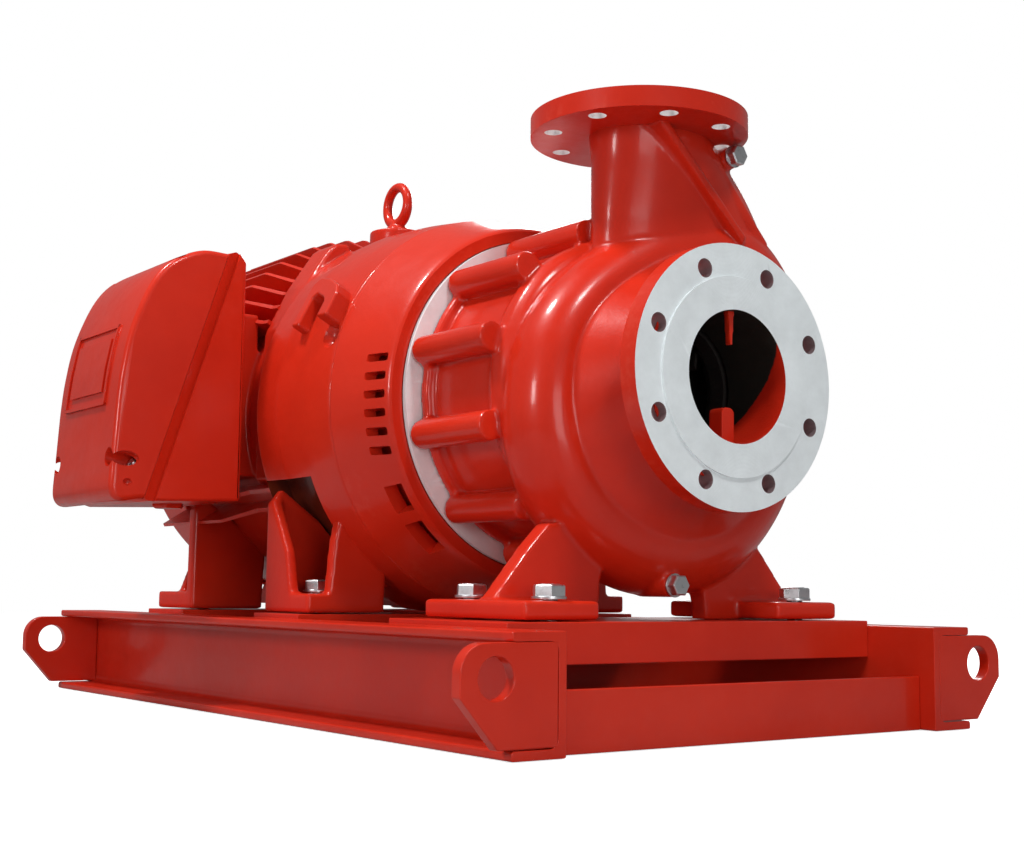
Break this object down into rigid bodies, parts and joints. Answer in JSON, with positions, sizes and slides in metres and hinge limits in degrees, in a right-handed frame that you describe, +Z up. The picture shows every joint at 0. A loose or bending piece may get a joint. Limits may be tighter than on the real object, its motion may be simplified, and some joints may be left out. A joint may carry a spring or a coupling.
{
  "type": "close-coupled centrifugal water pump",
  "caption": "Close-coupled end-suction centrifugal pump with a flanged electric motor, feet and a side terminal box, on a welded steel base frame with lifting ears.",
  "frame": {"origin": "on the underside of the base frame, directly below the point where the discharge centreline meets the shaft centreline", "axes": "+X along the shaft towards the suction flange, +Z up along the discharge centreline, +Y to the right of someone who stands in front of the suction flange and looks at it"},
  "size_m": [0.989, 0.7215, 0.642],
  "materials": {
    "red_enamel": "glossy red enamel over cast iron and steel",
    "zinc_steel": "bright zinc-plated steel",
    "machined_iron": "machined iron face, left bare, light bluish grey",
    "ground_steel": "ground steel",
    "bronze": "as-cast bronze",
    "laminated_steel": "dark varnished laminations",
    "copper_winding": "varnished copper wire",
    "gasket_rubber": "matt black rubber",
    "seal_carbon": "lapped carbon and ceramic",
    "black_plastic": "black moulded plastic"
  },
  "bodies": {
    "pump_set": {"volute_casing": "red_enamel", "drive_end_shield": "red_enamel", "motor_frame": "red_enamel", "rear_end_shield": "red_enamel", "fan_cowl": "red_enamel", "eyebolt": "red_enamel", "terminal_box_base": "red_enamel", "terminal_box_cover": "red_enamel", "side_channel_left": "red_enamel", "side_channel_right": "red_enamel", "lifting_ear_front_left": "red_enamel", "lifting_ear_front_right": "red_enamel", "lifting_ear_rear_left": "red_enamel", "lifting_ear_rear_right": "red_enamel", "front_cross_member": "red_enamel", "rear_cross_member": "red_enamel", "pump_support_beam": "red_enamel", "motor_support_beam_front": "red_enamel", "motor_support_beam_rear": "red_enamel", "bottom_tie": "red_enamel", "drain_plug": "zinc_steel", "gauge_plug": "zinc_steel", "casing_bolt_1": "zinc_steel", "casing_bolt_2": "zinc_steel", "cover_screw_1": "zinc_steel", "cover_screw_2": "zinc_steel", "cover_screw_3": "zinc_steel", "cover_screw_4": "zinc_steel", "pump_foot_bolt_1": "zinc_steel", "pump_foot_bolt_2": "zinc_steel", "pump_foot_bolt_3": "zinc_steel", "pump_foot_bolt_4": "zinc_steel", "motor_foot_bolt_1": "zinc_steel", "motor_foot_bolt_2": "zinc_steel", "motor_foot_bolt_3": "zinc_steel", "motor_foot_bolt_4": "zinc_steel", "adapter_plate": "machined_iron", "drive_end_bearing_outer_ring": "ground_steel", "rear_end_bearing_outer_ring": "ground_steel", "casing_wear_ring": "bronze", "stator_core": "laminated_steel", "stator_winding_front": "copper_winding", "stator_winding_rear": "copper_winding", "casing_gasket": "gasket_rubber", "terminal_box_gasket": "gasket_rubber", "seal_stationary_seat": "seal_carbon", "terminal_board": "black_plastic"},
    "rotor": {"motor_shaft": "ground_steel", "impeller": "bronze", "impeller_nut": "zinc_steel", "impeller_key": "ground_steel", "shaft_sleeve": "ground_steel", "seal_rotating_face": "seal_carbon", "seal_spring": "ground_steel", "rotor_core": "laminated_steel", "cooling_fan": "black_plastic", "drive_end_bearing_inner_ring": "ground_steel", "rear_end_bearing_inner_ring": "ground_steel"},
    "drive_end_cage": {"drive_end_bearing_ball_cage": "bronze"},
    "rear_end_cage": {"rear_end_bearing_ball_cage": "bronze"}
  },
  "joints": [
    {"name": "rotor_spin", "type": "hinge", "parent": "pump_set", "child": "rotor", "pos_m": [0, 0, 0.33], "axis": [1, 0, 0], "continuous": true},
    {"name": "drive_end_cage_spin", "type": "hinge", "parent": "pump_set", "child": "drive_end_cage", "pos_m": [-0.246, 0, 0.33], "axis": [1, 0, 0], "continuous": true},
    {"name": "rear_end_cage_spin", "type": "hinge", "parent": "pump_set", "child": "rear_end_cage", "pos_m": [-0.663, 0, 0.33], "axis": [1, 0, 0], "continuous": true}
  ],
  "couplings": [
    {"joint": "drive_end_cage_spin", "follows": "rotor_spin", "ratio": 0.42},
    {"joint": "rear_end_cage_spin", "follows": "rotor_spin", "ratio": 0.42}
  ]
}
